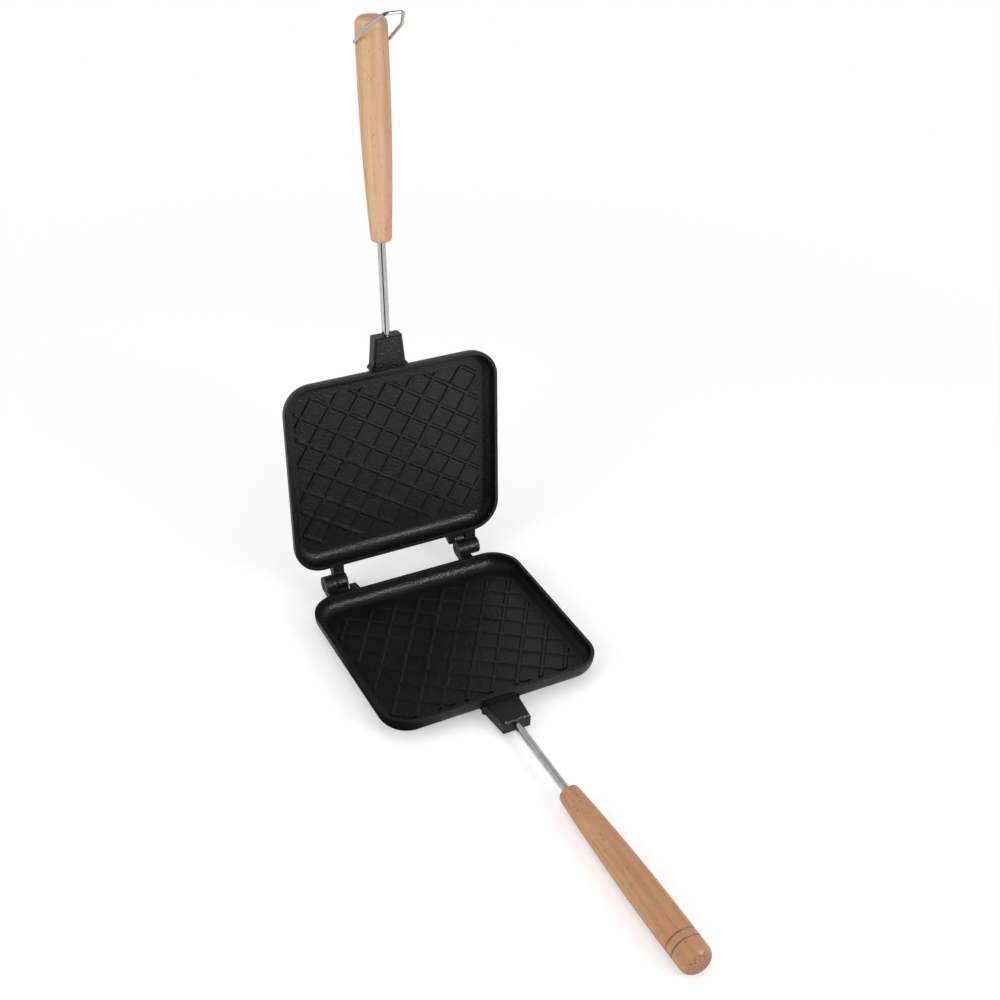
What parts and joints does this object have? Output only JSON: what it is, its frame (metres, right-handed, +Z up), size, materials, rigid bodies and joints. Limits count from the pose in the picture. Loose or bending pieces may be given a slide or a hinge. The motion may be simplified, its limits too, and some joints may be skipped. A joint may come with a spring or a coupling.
{
  "type": "pie iron",
  "caption": "Hinged sandwich iron: shallow cast pans with diamond ribs, long steel rods, turned wooden handles and a wire locking bail, standing open.",
  "frame": {"origin": "centre of the lower pan's flat outer bottom, the face that stands on the stove", "axes": "+Z up out of the lower pan, +X along the hinge line, +Y from the lower handle towards the hinge"},
  "size_m": [0.145, 0.4064, 0.3749],
  "materials": {
    "pan": "satin black non-stick coating on cast aluminium",
    "steel": "bright drawn steel",
    "wire": "bright steel wire",
    "lower_wood": "oiled beech, smooth turned",
    "upper_wood": "oiled beech, smooth turned"
  },
  "bodies": {
    "base": {"lower_pan": "pan", "lower_rod": "steel", "lower_handle": "lower_wood", "lower_hinge_pin": "steel"},
    "lid": {"upper_pan": "pan", "upper_rod": "steel", "upper_handle": "upper_wood", "upper_hinge_pin": "steel"},
    "bail_loop": {"bail": "wire"}
  },
  "joints": [
    {"name": "lid_hinge", "type": "hinge", "parent": "base", "child": "lid", "pos_m": [0, 0.0755, 0.0138], "axis": [1, 0, 0], "range_deg": [0, 96.5]},
    {"name": "bail_pivot", "type": "hinge", "parent": "lid", "child": "bail_loop", "pos_m": [0, 0.12321, 0.34492], "axis": [1, 0, 0], "range_deg": [-220, 42]}
  ]
}
